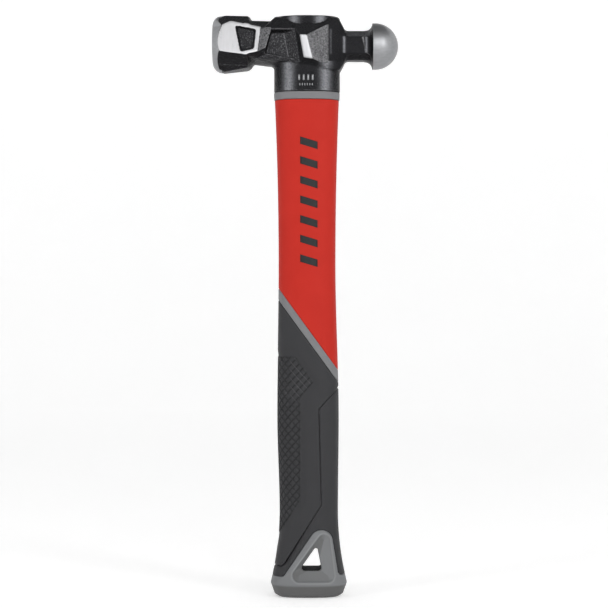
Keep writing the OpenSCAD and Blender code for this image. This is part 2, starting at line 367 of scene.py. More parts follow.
def surface_net(values, low, step):
    """Quads round the zero surface of a grid of distances, with one vertex in each cell it crosses."""
    nx, ny, nz = (n - 1 for n in values.shape)

    def corner(a, b, c):
        return values[a:a + nx, b:b + ny, c:c + nz]

    count = sum((corner(a, b, c) < 0).astype(np.int8) for a in (0, 1) for b in (0, 1) for c in (0, 1))
    cells = np.argwhere((count > 0) & (count < 8))
    number = np.full((nx, ny, nz), -1)
    number[tuple(cells.T)] = np.arange(len(cells))
    total, hits = np.zeros((len(cells), 3)), np.zeros(len(cells))
    for start, axis in CELL_EDGES:
        end = list(start)
        end[axis] = 1
        v0 = values[tuple((cells + start).T)]
        v1 = values[tuple((cells + end).T)]
        crossed = (v0 < 0) != (v1 < 0)
        t = np.where(crossed, v0 / np.where(crossed, v0 - v1, 1), 0)
        point = np.tile(np.array(start, float), (len(cells), 1))
        point[:, axis] += t
        total += point * crossed[:, None]
        hits += crossed
    points = low + step * (cells + total / hits[:, None])
    quads = []
    for axis in range(3):
        u, v = [(1, 2), (2, 0), (0, 1)][axis]
        ahead = np.take(values, range(1, values.shape[axis]), axis) < 0
        here = np.take(values, range(values.shape[axis] - 1), axis) < 0
        edges = np.argwhere(here != ahead)
        edges = edges[(edges[:, u] > 0) & (edges[:, v] > 0) & (edges[:, u] < values.shape[u] - 1)
                      & (edges[:, v] < values.shape[v] - 1)]
        flips = here[tuple(edges.T)]
        du, dv = np.eye(3, dtype=int)[u], np.eye(3, dtype=int)[v]
        ring = [number[tuple((edges - s).T)] for s in (du + dv, dv, 0 * du, du)]
        quad = np.stack(ring, 1)
        quads.append(np.where(flips[:, None], quad, quad[:, ::-1]))
    return points, np.concatenate(quads)


def settle(points, field, rounds=3, reach=0.3):
    """Moves points onto the zero surface of a field, along its gradient."""
    e = 0.05
    for _ in range(rounds):
        d = field(points)
        grad = np.stack([(field(points + e * k) - field(points - e * k)) / (2 * e) for k in np.eye(3)], 1)
        move = d / np.maximum((grad ** 2).sum(1), 0.3)
        points = points - np.clip(move, -reach, reach)[:, None] * grad
    return points


HEAD_CELL, QUICK_CELL = 0.505, 1.2


def head_distance(p):
    """Signed distance of points from the head's surface."""
    return head_field(p[:, 0], np.abs(p[:, 1]), p[:, 2] - POLL_Z)


def head_mesh():
    """Points and quads of the head, from one half of its distance field mirrored in y."""
    step = HEAD_CELL
    margin = 1.5
    low = HEAD_LOW - margin
    low[1] = -(math.ceil((HALF_T + margin) / step)) * step
    counts = [int((HEAD_HIGH[0] + margin - low[0]) / step) + 2, int(round(-low[1] / step)) + 1,
              int((HEAD_HIGH[2] + margin - low[2]) / step) + 2]
    xs, ys, zs = (low[k] + step * np.arange(counts[k]) for k in range(3))
    x, y, z = np.meshgrid(xs, ys, zs, indexing="ij")
    half = head_field(x, np.abs(y), z - POLL_Z)
    values = np.concatenate([half, half[:, -2::-1]], axis=1)
    points, faces = surface_net(values, low, step)
    return settle(points, head_distance), faces


def ground_value(x, y, h):
    """Above zero on the ground cheek and on the ground strip."""
    cheek = np.minimum.reduce([0.12 - np.abs(ground_cheek(x, y, h)), -facet_edge(x, h),
                               -striking_end(x, y, h) - 0.3,
                               outline_distance(rounded(POLL_POCKET), x, h) - 0.35])
    strip = np.minimum(0.12 - np.abs(y - HALF_T), -rough_plane(x, y, h) - 0.1)
    return np.maximum(cheek, strip)


def satin_value(x, y, h):
    """Above zero on the ball, on the striking end's bevels and on the rim of its face."""
    bevel = np.minimum(striking_end(x, y, h) + 0.25, FACE_X + 6.5 - x)
    ball = x - (BALL_TIP_X - BALL_R - 1.6)
    face_rim = -57.5 + 0.6 * np.maximum(np.hypot(y, h) - 16.6, 0) - x
    return np.maximum.reduce([ball, bevel, face_rim])


def rough_value(x, y, h):
    """Above zero on the rough facet beside the ground cheek and on the rough side of the boss."""
    edge = facet_edge(x, h)
    facet = 0.25 - np.abs(ground_cheek(x, y, h) - FACET_TILT * edge)
    facet = np.where((edge > 0) & (x < -20), facet, -1)
    facet = np.minimum.reduce([facet, 8.9 - h, h - rib_top(x)])
    return np.maximum(np.minimum(0.15 - np.abs(rough_plane(x, y, h)), x), facet)


def waist_floor(x, y, h):
    """Above zero inside the deep pocket, clear of its walls and roof."""
    inside = -outline_distance(rounded(WAIST_POCKET), x, h) - 0.5
    return np.minimum.reduce([inside, HALF_T - 1.2 - y, -pocket_roof(x, y, h) - 0.25])


def pocket_value(x, y, h):
    """Above zero on the floors of the pockets, on the rib, and on the edge over the deep pocket, a band
    painted lighter as a highlight.
    """
    inside = -outline_distance(rounded(POLL_POCKET), x, h) - 0.9
    poll_floor = np.minimum(inside, -1.2 - ground_cheek(x, y, h))
    on_rib = 0.25 - np.abs(slope(x, y, h, *RIB))
    on_rib = np.minimum.reduce([on_rib, -5 - x, rib_top(x) - h, h + 15.2])
    # painted highlight: a lighter band on the edge over the deep pocket
    lit_lintel = np.minimum.reduce([0.5 - np.abs(h - 8), x + 22.6, -6.4 - x, y - 15.4])
    return np.maximum.reduce([waist_floor(x, y, h), poll_floor, on_rib, lit_lintel])


def painted_highlight_value(points, x, y, h):
    """Share of painted highlight: two bands round the oval, glints on the neck's edges, raised facets that
    face up, a chamfer.
    """
    wall = (np.abs(boss_wall(x, y, h)) < 0.4) & (h > 8)
    # painted highlights: two bands round the boss wall above and round the collar below
    band = np.where(wall, np.exp(-((np.abs(x) - 8.5) / 3) ** 2), np.exp(-((np.abs(x) - 12) / 3.2) ** 2))
    band = np.where(wall | (h < -13), band, 0)
    k = h + BALL_DROP
    # painted glints along two edges of the neck
    glints = np.exp(-((x - 38.2) / 0.7) ** 2) + np.exp(-((x - 23.9) / 0.7) ** 2)
    glints *= smooth((5.6 - np.abs(k)) / 0.6) * smooth((y - 5) / 2)
    # faces that turn upwards are painted lighter, as if lit from above
    up = np.array([0, 0, 0.05])
    rise = (head_distance(points + up) - head_distance(points - up)) / 0.1
    raised = smooth((rise - 0.3) / 0.4) * (0.18 + 0.57 * smooth((x - 20) / 3))
    # painted highlight along a narrow chamfer beside the rough side
    chamfer = 0.28 * smooth((1.1 - np.abs(x - 15.2)) / 0.9) * smooth((9 - np.abs(h)) / 2) * (y > 13)
    return np.maximum.reduce([band, glints, raised, chamfer])


def edge_wear_and_highlight_value(points, x, y, h):
    """Convex edges lighter, partly rubbed by use and partly a painted highlight, and a painted highlight on
    the ridge where the pocket's floor starts to climb.
    """
    reach = 0.35
    around = sum(head_distance(points + reach * s * q) for s in (-1, 1) for q in np.eye(3))
    around = around - 6 * head_distance(points)
    wear_and_highlight = np.clip(around / reach ** 2, 0, 3) * (x < 26)
    # painted highlight along the crease where the pocket's floor starts to climb
    ridge = CLIMB_SLOPE * (x - CLIMB_X) + CLIMB_LEAN * h
    on_floor = np.maximum(wear_and_highlight, 2.2 * np.exp(-(ridge / 0.2) ** 2))
    return np.where(waist_floor(x, y, h) > 0, on_floor, wear_and_highlight)


def build_head():
    """The forged head, with the values that place its finishes."""
    points, faces = head_mesh()
    piece = make_piece("forged_head", points, faces)
    x, y, h = points[:, 0], np.abs(points[:, 1]), points[:, 2] - POLL_Z
    point_values(piece, "ground", ground_value(x, y, h))
    point_values(piece, "satin", satin_value(x, y, h))
    point_values(piece, "rough", rough_value(x, y, h))
    point_values(piece, "pocket", pocket_value(x, y, h))
    # painted shade: the ground strip towards the peen darker than the ground cheek
    point_values(piece, "strip", smooth((x + 12) / 2))
    # painted highlights on the collar, boss wall, neck, up-facing facets and a chamfer
    point_values(piece, "band", painted_highlight_value(points, x, y, h))
    # edges lighter from use and as painted highlight, and a painted highlight on the pocket's ridge
    point_values(piece, "edge", edge_wear_and_highlight_value(points, x, y, h))
    dress(piece, forged_steel(), "forged_steel", "hammer_head")


# ---------------------------------------------------------------- handle

COLUMNS = 224
ROW_STEP = 0.53
DIAMOND_CELLS = 10
WALL = 2.4
CAP_WALL = 2.0


def half_at(z, s):
    """Half size of the handle at a height, from its values at the five stations."""
    upper = s[1] + (s[0] - s[1]) * ((z - WAIST_Z) / (COLLAR_Z - WAIST_Z)) ** 2
    palm = s[1] + (s[2] - s[1]) * smooth((WAIST_Z - z) / (WAIST_Z - SWELL_Z))
    lower = s[2] + (s[3] - s[2]) * smooth((SWELL_Z - z) / (SWELL_Z - HOLLOW_Z))
    flare = s[3] + (s[4] - s[3]) * ((HOLLOW_Z - z) / (HOLLOW_Z - RIM_Z)) ** 2
    bevel = s[4] - BEVEL_IN * (RIM_Z - z) / (RIM_Z - FOOT_BEVEL_Z)
    foot = s[4] - BEVEL_IN - FOOT_IN * (FOOT_BEVEL_Z - z) / FOOT_BEVEL_Z
    return np.select([z > WAIST_Z, z > SWELL_Z, z > HOLLOW_Z, z > RIM_Z, z > FOOT_BEVEL_Z],
                     [upper, palm, lower, flare, bevel], foot)


def skin_point(angle, z):
    """Point of the handle's smooth skin; an angle of 0 is the face side, and it grows past the -Y cheek."""
    c, s = -np.cos(angle), -np.sin(angle)
    p = 2 / SKIN_SQUARENESS
    width = np.where(c < 0, half_at(z, TO_FACE), half_at(z, TO_PEEN))
    x = width * np.sign(c) * np.abs(c) ** p
    y = half_at(z, TO_CHEEK) * np.sign(s) * np.abs(s) ** p
    return np.stack([x, y, z + 0 * x], -1)


def even_angles(count):
    """Angles that share the handle's girth out evenly."""
    fine = np.linspace(0, 2 * math.pi, 20001)
    ring = skin_point(fine, np.full(fine.shape, 100.0))
    walked = np.concatenate([[0], np.cumsum(np.linalg.norm(np.diff(ring, axis=0), axis=1))])
    return np.interp(np.linspace(0, walked[-1], count, endpoint=False), walked, fine)


def outward(angle, z):
    """Unit normal of the skin, level with the ground."""
    e = 1e-4
    along = skin_point(angle + e, z) - skin_point(angle - e, z)
    normal = np.stack([-along[..., 1], along[..., 0], 0 * z], -1)
    normal *= np.sign((normal * skin_point(angle, z)).sum(-1, keepdims=True))
    return normal / np.maximum(np.linalg.norm(normal, axis=-1, keepdims=True), 1e-9)


def rim_edges(faces):
    """Edges that only one quad has, in the order that quad gives them."""
    edges = np.concatenate([faces[:, [k, (k + 1) % 4]] for k in range(4)])
    _, first, count = np.unique(np.sort(edges, 1), axis=0, return_index=True, return_counts=True)
    return edges[first[count == 1]]


def shell(points, inner, faces):
    """Closed shell from an outer skin, the matching inner skin and the outer skin's faces."""
    n = len(points)
    rim = rim_edges(faces)
    walls = np.stack([rim[:, 1], rim[:, 0], rim[:, 0] + n, rim[:, 1] + n], 1)
    return np.concatenate([points, inner]), np.concatenate([faces, faces[:, ::-1] + n, walls])


def ring_faces(rows, columns):
    """Quads of a grid that closes round on itself along its columns, wound to face outwards."""
    k, i = (q.ravel() for q in np.meshgrid(np.arange(rows - 1), np.arange(columns), indexing="ij"))
    here, right = k * columns + i, k * columns + (i + 1) % columns
    return np.stack([here, right, right + columns, here + columns], -1)


def grid_faces(rows, columns):
    """Quads of an open grid of points."""
    k, i = (q.ravel() for q in np.meshgrid(np.arange(rows - 1), np.arange(columns - 1), indexing="ij"))
    here = k * columns + i
    return np.stack([here, here + 1, here + columns + 1, here + columns], -1)


def edge_roll(distance, r):
    """How far a rounded edge of radius r falls below the skin at a distance from the edge."""
    t = np.clip(1 - distance / r, 0, 1)
    return r * (1 - np.sqrt(1 - t * t))


def stripe_height(angle, rise):
    """Height at which the stripe's edge crosses the skin at each angle."""
    z = np.full(np.shape(angle), STRIPE_Z)
    for _ in range(8):
        z = STRIPE_Z + rise - STRIPE_FALL * skin_point(angle, z)[..., 0]
    return z


def sleeve(name, low, high, rows, roll=0.35, proud=0.0):
    """Tube of the handle's skin between two edges, given as heights at each angle."""
    angle = even_angles(COLUMNS)
    t = np.concatenate([[0, 0.15, 0.4], np.linspace(1, rows - 1, rows - 1),
                        [rows - 0.4, rows - 0.15, rows]]) / rows
    a, f = np.meshgrid(angle, t, indexing="xy")
    z0, z1 = low(angle)[None, :], high(angle)[None, :]
    z = z0 + (z1 - z0) * f
    slant = 1 / math.hypot(1, STRIPE_FALL if np.ptp(z0) > 1 else 0)
    slant_top = 1 / math.hypot(1, STRIPE_FALL if np.ptp(z1) > 1 else 0)
    fall = edge_roll((z - z0) * slant, roll) + edge_roll((z1 - z) * slant_top, roll)
    points = skin_point(a, z) + (proud - fall)[..., None] * outward(a, z)
    inner = skin_point(a, z) - WALL * outward(a, z)
    out = shell(points.reshape(-1, 3), inner.reshape(-1, 3), ring_faces(len(t), COLUMNS))
    return make_piece(name, *out)


def level(height):
    return lambda angle: np.full(np.shape(angle), float(height))


def build_neck_ring():
    ring = sleeve("neck_ring_skin", level(RING_Z + 0.1), level(COLLAR_Z - 0.35), 9, roll=0.5, proud=0.35)
    dress(ring, soft_grey(), "soft_grey", "neck_ring")


def build_upper_jacket():
    rows = 210
    jacket = sleeve("red_jacket", lambda a: stripe_height(a, STRIPE_H + 0.05), level(RING_Z - 0.1), rows)
    dress(jacket, red_jacket(), "red_jacket", "upper_jacket")


def build_grip_stripe():
    stripe = sleeve("stripe_band", lambda a: stripe_height(a, 0.1),
                    lambda a: stripe_height(a, STRIPE_H - 0.1), 14, roll=0.3)
    dress(stripe, soft_grey(), "soft_grey", "grip_stripe")


def snap(angle, z, region, rounds=6):
    """Slides points over the skin onto the edge of a region."""
    e = 1e-3
    for _ in range(rounds):
        p = skin_point(angle, z)
        speed = np.linalg.norm(skin_point(angle + e, z) - skin_point(angle - e, z), axis=-1) / (2 * e)
        d = region(p)
        da = (region(skin_point(angle + e, z)) - region(skin_point(angle - e, z))) / (2 * e * speed)
        dz = (region(skin_point(angle, z + 0.05)) - region(skin_point(angle, z - 0.05))) / 0.1
        size = np.maximum(da * da + dz * dz, 0.15)
        angle = angle - np.clip(d * da / size, -0.5, 0.5) / speed
        z = z - np.clip(d * dz / size, -0.5, 0.5)
    return angle, z


def trimmed_skin(angle, heights, region, fixed_below=0.0):
    """Part of a grid on the skin inside a region: angles, heights, quads and the grid numbers kept."""
    a, z = (q.ravel() for q in np.meshgrid(angle, heights, indexing="xy"))
    faces = ring_faces(len(heights), len(angle))
    faces = faces[region(skin_point(a, z)[faces].mean(1)) < 0]
    rim = np.unique(rim_edges(faces))
    rim = rim[z[rim] > fixed_below]
    a[rim], z[rim] = snap(a[rim], z[rim], region)
    keep, back = np.unique(faces, return_inverse=True)
    return a[keep], z[keep], back.reshape(faces.shape), keep


def patch(name, region, low, high, relief):
    """Part of the handle's skin inside a region of x and z, with its own relief, as a closed shell."""
    columns = COLUMNS
    step = ROW_STEP * COLUMNS / columns
    heights = np.arange(math.ceil(low / step), math.floor(high / step) + 1) * step
    a, z, faces, kept = trimmed_skin(even_angles(columns), heights, region)
    row, column = np.divmod(kept, columns)
    cells = (row + round(low / step)) * COLUMNS // columns, column * COLUMNS // columns
    base = skin_point(a, z)
    fall, groove_shades_and_gleams = relief(base, cells)
    fall = fall + edge_roll(np.maximum(-region(base), 0), 0.3)
    normal = outward(a, z)
    points = base - fall[:, None] * normal
    inner = base - (WALL + fall)[:, None] * normal
    piece = make_piece(name, *shell(points, inner, faces))
    # painted shade and highlight from the relief, on the outer skin only
    point_values(piece, "groove_shade_and_gleam", np.concatenate([groove_shades_and_gleams, groove_shades_and_gleams * 0]))
    return piece


def seam_outline():
    """Outline of everything below the seam."""
    return closed_at(rounded(SEAM), -200)


def grip_zone(side):
    """Distance field of the front (-1) or rear (+1) grip, seen square on to the cheek."""
    below_seam = seam_outline()
    above_cap = closed_at(rounded(CAP_EDGE, 18), 300)

    def front(p):
        stripe = (p[..., 2] - STRIPE_Z + STRIPE_FALL * p[..., 0]) / math.hypot(1, STRIPE_FALL)
        return np.maximum(stripe + 0.05, 0.12 - outline_distance(below_seam, p[..., 0], p[..., 2]))

    def rear(p):
        return np.maximum(outline_distance(below_seam, p[..., 0], p[..., 2]) + 0.05,
                          outline_distance(above_cap, p[..., 0], p[..., 2]) + 0.06)

    return front if side < 0 else rear


def seam_notch(base, away):
    """Deeper lip of the seam where it runs over the two sides of the handle."""
    return 0.7 * np.clip(1 - away / 0.8, 0, 1) * smooth((7 - np.abs(base[:, 1])) / 4)


def diamond_relief(base, cells):
    """Sunk panel with soft bevels, and raised diamonds parted by grooves, with painted shade in the grooves
    and painted highlights on some of them.
    """
    depth, pad = 0.5, 0.34
    rim = outline_distance(rounded(PANEL_RIM), base[:, 0], base[:, 2])
    panel = outline_distance(rounded(PANEL), base[:, 0], base[:, 2])
    sink = np.where(panel < 0, depth, np.where(rim < 0, depth * smooth(rim / (rim - panel - 1e-6)), 0))
    row, column = cells
    falling, rising = (row + column) % DIAMOND_CELLS, (row - column) % DIAMOND_CELLS
    falling, rising = (np.clip(1 - np.minimum(q, DIAMOND_CELLS - q) / 1.15, 0, 1) for q in (falling, rising))
    inside = smooth(-panel / 0.5)
    gleam = smooth((base[:, 2] - 116) / 16) * smooth((base[:, 0] + 14) / 4)
    # painted shade along the panel's edge
    border_shade = 0.55 * np.clip(1 - np.abs(panel + 0.6) / 0.8, 0, 1)
    # painted shade in the rising grooves; falling grooves painted dark, and painted as a highlight towards
    # the upper right
    groove_shade_and_gleam = np.maximum(rising * (1 - falling), border_shade) + falling * (0.5 - 0.95 * gleam)
    notch = seam_notch(base, outline_distance(seam_outline(), base[:, 0], base[:, 2]))
    return sink - (pad - 0.85 * np.maximum(falling, rising)) * inside + notch, groove_shade_and_gleam * inside


def seam_relief(base, cells):
    """Soft scoop that widens the lower half of the seam on the rear grip."""
    away = -outline_distance(seam_outline(), base[:, 0], base[:, 2])
    low = smooth((60 - base[:, 2]) / 34) * smooth((base[:, 2] - 17) / 8)
    scoop = 1.5 * np.clip(1 - away / 3.4, 0, 1) ** 1.5 * low
    return scoop + seam_notch(base, away), np.zeros(len(base))


def build_grips():
    front = patch("front_grip_skin", grip_zone(-1), 10, 206, diamond_relief)
    dress(front, soft_black(), "soft_black", "front_grip")
    rear = patch("rear_grip_skin", grip_zone(1), 8, 152, seam_relief)
    dress(rear, soft_black(), "soft_black", "rear_grip")


def foot_fan(points, faces):
    """Adds a centre point, and quads from it to the ring of lowest points."""
    ring = np.where(points[:, 2] < 1e-6)[0]
    ring = ring[np.argsort(np.arctan2(points[ring, 1], points[ring, 0]))]
    centre = len(points)
    k = np.arange(0, len(ring), 2)
    fan = np.stack([np.full(len(k), centre), ring[(k + 2) % len(ring)], ring[k + 1], ring[k]], 1)
    return np.concatenate([points, points[ring].mean(0, keepdims=True)]), np.concatenate([faces, fan])


def sunk_dish(base, hole, dish):
    """Points of the cap's skin, sunk inside the dish down to the lining, with a bead round it."""
    to_hole = np.maximum(outline_distance(hole, base[:, 0], base[:, 2]), 0)
    to_dish = -outline_distance(dish, base[:, 0], base[:, 2])
    share = np.clip(to_hole / np.maximum(to_hole + np.maximum(to_dish, 0), 1e-6), 0, 1)
    lip = LINING_HALF_T + 0.15
    sunk = (np.abs(base[:, 1]) - lip) * (1 - share) + 0.6 * smooth(to_dish / 0.9) * share
    bead = 0.22 * np.exp(-((to_dish + 0.5) / 0.6) ** 2)
    side = np.sign(base[:, 1])
    points = base.copy()
    points[:, 1] -= side * np.where(to_dish > 0, np.minimum(sunk, np.abs(base[:, 1]) - lip), 0)
    points[:, 1] += side * bead * (np.abs(base[:, 1]) > 9)
    return points


def cap_shade_and_rim_light(base, dish):
    """Painted shade above zero on the dish's walls, deeper on its left walls, and on the foot, and a painted
    highlight below zero on the dish's rim.
    """
    x, z = base[:, 0], base[:, 2]
    to_dish = -outline_distance(dish, x, z)
    e = 0.05
    lean = outline_distance(dish, x - e, z) - outline_distance(dish, x + e, z)
    # painted shade on the dish's walls, deeper on its left walls
    wall_shade = smooth(to_dish / 0.6) * (0.45 + 0.4 * lean / (2 * e))
    # painted highlight in a thin line just outside the dish's edge
    rim_highlight = -0.3 * np.exp(-((to_dish + 0.5) / 0.5) ** 2)
    shade_and_rim_light = np.where(to_dish > 0, wall_shade, rim_highlight)
    # painted shade, darker towards the bottom of the foot
    return np.where(z < RIM_Z, smooth((RIM_Z - 0.4 - z) / 1.5), shade_and_rim_light)


def build_butt_cap():
    """Grey cap: skin with the dish sunk towards the lining of the hole, and a closed foot."""
    cap = closed_at(rounded(CAP_EDGE, 18), -300)
    hole, dish = rounded(HOLE) + [0, HOLE_FLOOR_Z], rounded(DISH, 12)

    def rim_distance(p):
        return outline_distance(cap, p[..., 0], p[..., 2]) + 0.06

    def region(p):
        return np.maximum(rim_distance(p), -outline_distance(hole, p[..., 0], p[..., 2]))

    columns = COLUMNS + 96
    step = 0.42
    heights = np.concatenate([[0, 0.12, 0.3, 0.55, 0.9, 1.3, 1.8], np.arange(FOOT_BEVEL_Z, 58, step)])
    a, z, faces, _ = trimmed_skin(even_angles(columns), heights, region, fixed_below=3)
    base = skin_point(a, z)
    points = sunk_dish(base, hole, dish)
    fall = edge_roll(np.maximum(-rim_distance(base), 0), 0.4) + edge_roll(z, 1.5)
    normal = outward(a, z)
    points -= fall[:, None] * normal
    inner = points - CAP_WALL * normal
    inner[:, 2] = np.maximum(inner[:, 2], 0)
    low = z < 1e-6
    inner[low, 2] = CAP_WALL
    outer_points, quads = foot_fan(points, faces)
    centre = np.append(inner[low].mean(0)[:2], CAP_WALL)[None]
    piece = make_piece("cap_skin", *shell(outer_points, np.concatenate([inner, centre]), quads))
    # painted shade and rim highlight, with the foot's centre point fully shaded
    shade_and_rim_light = np.append(cap_shade_and_rim_light(base, dish), 1)
    point_values(piece, "shade_and_rim_light", np.concatenate([shade_and_rim_light, shade_and_rim_light]))
    dress(piece, cap_grey(), "soft_grey", "butt_cap")


# ---------------------------------------------------------------- generic marks

MARK_LIFT, MARK_SINK = 0.12, 0.2


def mark_shell(x, z, depth, side, rows, columns):
    """Thin patch over a grid of points, standing MARK_LIFT proud of a surface at a depth in y."""
    faces = grid_faces(rows, columns)
    if side > 0:
        faces = faces[:, ::-1]
    top = np.stack([x, side * (depth + MARK_LIFT), z], -1)
    under = np.stack([x, side * (depth - MARK_SINK), z], -1)
    return shell(top, under, faces)


def decal(corners, side):
    """Thin patch on the handle's skin, from four corners given as x and z."""
    columns, rows = 7, 19
    u, v = np.meshgrid(np.linspace(0, 1, columns), np.linspace(0, 1, rows))
    c = np.array(corners, float)
    flat = (c[0] * ((1 - u) * (1 - v))[..., None] + c[1] * (u * (1 - v))[..., None]
            + c[2] * (u * v)[..., None] + c[3] * ((1 - u) * v)[..., None]).reshape(-1, 2)
    x, z = flat[:, 0], flat[:, 1]
    width = np.where(x < 0, half_at(z, TO_FACE), half_at(z, TO_PEEN))
    depth = half_at(z, TO_CHEEK) * (1 - np.abs(x / width) ** SKIN_SQUARENESS) ** (1 / SKIN_SQUARENESS)
    return mark_shell(x, z, depth, side, rows, columns)


def slanted_bar(x0, x1, z0, z1, lean):
    return [(x0, z0), (x1, z0 - lean), (x1, z1 - lean), (x0, z1)]


def join(parts):
    """Points and faces of several closed parts as one mesh."""
    points, faces, start = [], [], 0
    for p, f in parts:
        points.append(p)
        faces.append(f + start)
        start += len(p)
    return np.concatenate(points), np.concatenate(faces)


def build_print():
    """Plain slanted bars, printed on both cheeks of the jacket in place of lettering."""
    first, pitch, tall, lean = 213.0, 12.6, 8.2, 3.4
    parts = [decal(slanted_bar(-4.4, 6.8, first + pitch * k + lean, first + pitch * k + tall, lean), side)
             for k in range(7) for side in (-1, 1)]
    piece = make_piece("jacket_print", *join(parts))
    piece.data.materials.append(print_black())
    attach(piece, "root")


def collar_bar(x0, x1, z0, z1, side):
    """Small bar on the collar."""
    count = 5
    x, z = (q.ravel() for q in np.meshgrid(np.linspace(x0, x1, count), np.linspace(z0, z1, count)))
    half_w, half_t = BOSS_HALF
    depth = half_t * (1 - np.abs(x / half_w) ** BAR_SQUARENESS) ** (1 / BAR_SQUARENESS)
    return mark_shell(x, z, depth, side, count, count)


def build_stamp():
    """Rows of plain strokes on the collar, in place of stamped characters."""
    parts = []
    for side in (-1, 1):
        for k in range(4):
            parts.append(collar_bar(-5.6 + 2.9 * k, -4.5 + 2.9 * k, COLLAR_Z + 6.6, COLLAR_Z + 10.4, side))
        for k in range(6):
            parts.append(collar_bar(-4.9 + 1.6 * k, -4.3 + 1.6 * k, COLLAR_Z + 3.2, COLLAR_Z + 4.7, side))
    piece = make_piece("collar_stamp", *join(parts))
    piece.data.materials.append(bare_steel())
    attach(piece, "root")


# ---------------------------------------------------------------- materials

class Nodes:
    """Short way to write a node material."""

    def __init__(self, name):
        self.material = bpy.data.materials.new(name)
        self.material.use_nodes = True
        self.tree = self.material.node_tree
        self.shader = self.tree.nodes["Principled BSDF"]
        self.coords = self.tree.nodes.new("ShaderNodeTexCoord").outputs["Object"]

    def add(self, kind, inputs=None, **settings):
        node = self.tree.nodes.new("ShaderNode" + kind)
        for key, value in settings.items():
            setattr(node, key, value)
        for key, value in (inputs or {}).items():
            self.put(node.inputs[key], value)
        return node

    def put(self, socket, value):
        if isinstance(value, bpy.types.NodeSocket):
            self.tree.links.new(value, socket)
        else:
            socket.default_value = value

    def math(self, operation, a, b):
        return self.add("Math", {0: a, 1: b}, operation=operation).outputs[0]

    def noise(self, scale, detail, stretch=(1, 1, 1)):
        place = self.add("Mapping", {"Vector": self.coords, "Scale": stretch}).outputs[0]
        return self.add("TexNoise", {"Vector": place, "Scale": scale, "Detail": detail}).outputs[0]

    def ramp(self, value, low, high, out_low=0.0, out_high=1.0):
        return self.add("MapRange", {"Value": value, "From Min": low, "From Max": high, "To Min": out_low,
                                     "To Max": out_high}).outputs[0]

    def mix(self, share, a, b):
        node = self.add("Mix", data_type="RGBA")
        self.put(node.inputs[0], share)
        self.put(node.inputs[6], a)
        self.put(node.inputs[7], b)
        return node.outputs[2]

    def value_of(self, name):
        return self.add("Attribute", attribute_name=name).outputs["Fac"]

    def bump(self, height, distance):
        node = self.add("Bump", {"Height": height, "Distance": distance})
        self.put(self.shader.inputs["Normal"], node.outputs[0])

    def set(self, **values):
        for key, value in values.items():
            self.put(self.shader.inputs[key.replace("_", " ")], value)
        return self.material


def tint(r, g, b):
    """Colour given in everyday 0 to 255 values, as the linear values that Blender takes."""
    def linear(c):
        c /= 255
        return c / 12.92 if c <= 0.04045 else ((c + 0.055) / 1.055) ** 2.4
    return (linear(r), linear(g), linear(b), 1)


_made = {}


def once(make):
    """Builds each material a single time."""
    def give():
        if make.__name__ not in _made:
            _made[make.__name__] = make()
        return _made[make.__name__]
    return give


@once
def forged_steel():
    """Blackened steel: bare where ground or turned, grey on the rough facets, edges lighter from use and as
    painted highlight, with more painted highlights and shade.
    """
    n = Nodes("forged_steel")
    finishes = ("ground", "satin", "rough", "pocket")
    ground, satin, rough, pocket = (n.ramp(n.value_of(name), -0.05, 0.05) for name in finishes)
    grain = n.noise(900, 3)
    speck = n.ramp(n.noise(1300, 2), 0.52, 0.72)
    cloud = n.noise(60, 3)
    brush = n.noise(700, 2, stretch=(1, 1, 0.04))
    turned = n.noise(600, 2, stretch=(0.2, 1, 1))
    black = n.mix(cloud, tint(24, 24, 26), tint(36, 36, 38))
    # painted highlights: bands on the collar and boss wall, glints on the neck, lighter up-facing facets, a
    # chamfer
    band = n.math("MULTIPLY", n.value_of("band"), n.ramp(grain, 0.3, 0.7, 0.55, 1.0))
    black = n.mix(band, black, tint(128, 129, 133))
    # rough grey of the pockets, with a painted highlight on the edge over the deep pocket
    black = n.mix(pocket, black, n.mix(speck, tint(42, 42, 44), tint(88, 88, 90)))
    # edges lighter from use and as painted highlight, with a painted highlight on the pocket's ridge
    edge_wear_and_highlight = n.math("MULTIPLY", n.ramp(n.value_of("edge"), 0.7, 2.4), n.ramp(grain, 0.35, 0.65, 0.1, 0.7))
    black = n.mix(edge_wear_and_highlight, black, tint(124, 124, 127))
    scale = n.mix(n.ramp(grain, 0.3, 0.7), tint(74, 74, 76), tint(124, 124, 126))
    bright = n.mix(brush, tint(176, 176, 178), tint(194, 194, 196))
    # painted shade: darker ground finish on the strip towards the peen
    bright = n.mix(n.value_of("strip"), bright, tint(150, 150, 152))
    ball = n.mix(turned, tint(134, 135, 137), tint(156, 157, 159))
    colour = n.mix(satin, n.mix(ground, n.mix(rough, black, scale), bright), ball)
    bare = n.math("MAXIMUM", ground, satin)
    gloss = n.ramp(ground, 0, 1, 0.4, 0.3)
    dull = n.math("ADD", gloss, n.math("MULTIPLY", n.math("SUBTRACT", brush, 0.5), 0.12))
    pits = n.math("MULTIPLY", n.noise(1000, 2), n.ramp(bare, 0, 1, 1.0, 0.05))
    pits = n.math("MULTIPLY", pits, n.ramp(rough, 0, 1, 1.0, 1.5))
    n.bump(pits, 0.0007)
    return n.set(Base_Color=colour, Metallic=0.92, Roughness=dull)


def grey_rubber(name, low, high):
    n = Nodes(name)
    cloud = n.noise(80, 3)
    n.bump(n.noise(2600, 2), 0.00006)
    return n.set(Base_Color=n.mix(cloud, low, high), Roughness=n.ramp(cloud, 0, 1, 0.5, 0.62),
                 Specular_IOR_Level=0.25)


@once
def soft_grey():
    return grey_rubber("soft_grey", tint(104, 104, 106), tint(112, 112, 114))


